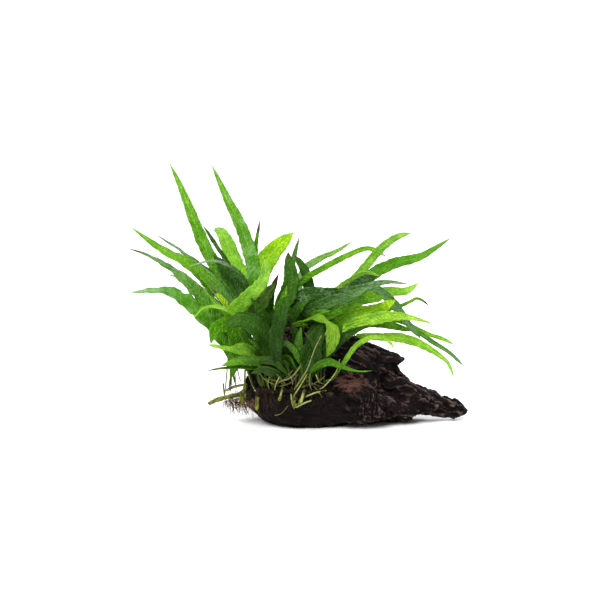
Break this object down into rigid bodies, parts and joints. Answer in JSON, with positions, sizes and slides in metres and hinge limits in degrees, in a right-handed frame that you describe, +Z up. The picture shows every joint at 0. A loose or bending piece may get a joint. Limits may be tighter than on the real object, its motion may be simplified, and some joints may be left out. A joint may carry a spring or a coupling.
{
  "type": "java fern on driftwood",
  "caption": "Java fern whose creeping rhizomes and strap-shaped leaves grow on a dark, weathered piece of driftwood that rests on its own flat underside.",
  "frame": {"origin": "middle of the driftwood's flat foot, on the surface that the wood rests on", "axes": "+X along the driftwood towards its thin tail, +Y from the front of the plant to its back, +Z up"},
  "size_m": [0.2552, 0.1244, 0.1911],
  "materials": {
    "driftwood": "wet, weathered",
    "rhizome": "living rhizome, slightly glossy",
    "leaf": "wet leaf, satin",
    "roots": "hair roots, matt"
  },
  "bodies": {
    "root": {"driftwood": "driftwood", "rhizome_top_front": "rhizome", "rhizome_top_back": "rhizome", "rhizome_face": "rhizome", "rhizome_side": "rhizome", "roots_side": "roots", "roots_edge": "roots", "leaf_pale_front": "leaf", "leaf_curl_left": "leaf", "leaf_yellow_streaked": "leaf", "leaf_dusky_centre": "leaf", "leaf_bumpy_right": "leaf", "leaf_tall_left": "leaf", "leaf_tall_right": "leaf", "leaf_arch_left": "leaf", "leaf_upper_left": "leaf", "leaf_strip_left": "leaf", "leaf_broad_left": "leaf", "leaf_dark_left": "leaf", "leaf_mid_left": "leaf", "leaf_dark_upright": "leaf", "leaf_dark_spike": "leaf", "leaf_dark_leaning": "leaf", "leaf_long_arch": "leaf", "leaf_blue_right": "leaf", "leaf_green_mid": "leaf", "leaf_yellow_broad_right": "leaf", "leaf_green_right": "leaf", "leaf_twisted_front": "leaf", "leaf_slim_behind": "leaf", "leaf_yellow_broad": "leaf", "leaf_pale_round": "leaf", "leaf_dark_slim": "leaf", "leaf_slim_upper_left": "leaf", "leaf_slim_upright": "leaf", "leaf_pale_right": "leaf", "leaf_right_upper": "leaf", "leaf_right_long": "leaf", "leaf_light_arch": "leaf", "leaf_dark_under_arch": "leaf", "leaf_bright_right": "leaf", "leaf_blue_drop": "leaf", "leaf_green_right_low": "leaf", "leaf_bright_drop": "leaf", "leaf_thin_curl": "leaf", "leaf_thin_drop_high": "leaf", "leaf_thin_drop_low": "leaf", "leaf_wood_arch": "leaf", "leaf_low_right": "leaf", "leaf_dark_front": "leaf", "leaf_dark_front_right": "leaf", "leaf_drooping_left": "leaf", "leaf_lower_left": "leaf", "leaf_thin_low_left": "leaf", "leaf_green_low_left": "leaf", "leaf_thin_tip_left": "leaf", "leaf_pale_low_left": "leaf", "leaf_dark_broad_front": "leaf", "leaf_dark_middle": "leaf", "leaf_bright_front": "leaf"}
  },
  "joints": []
}
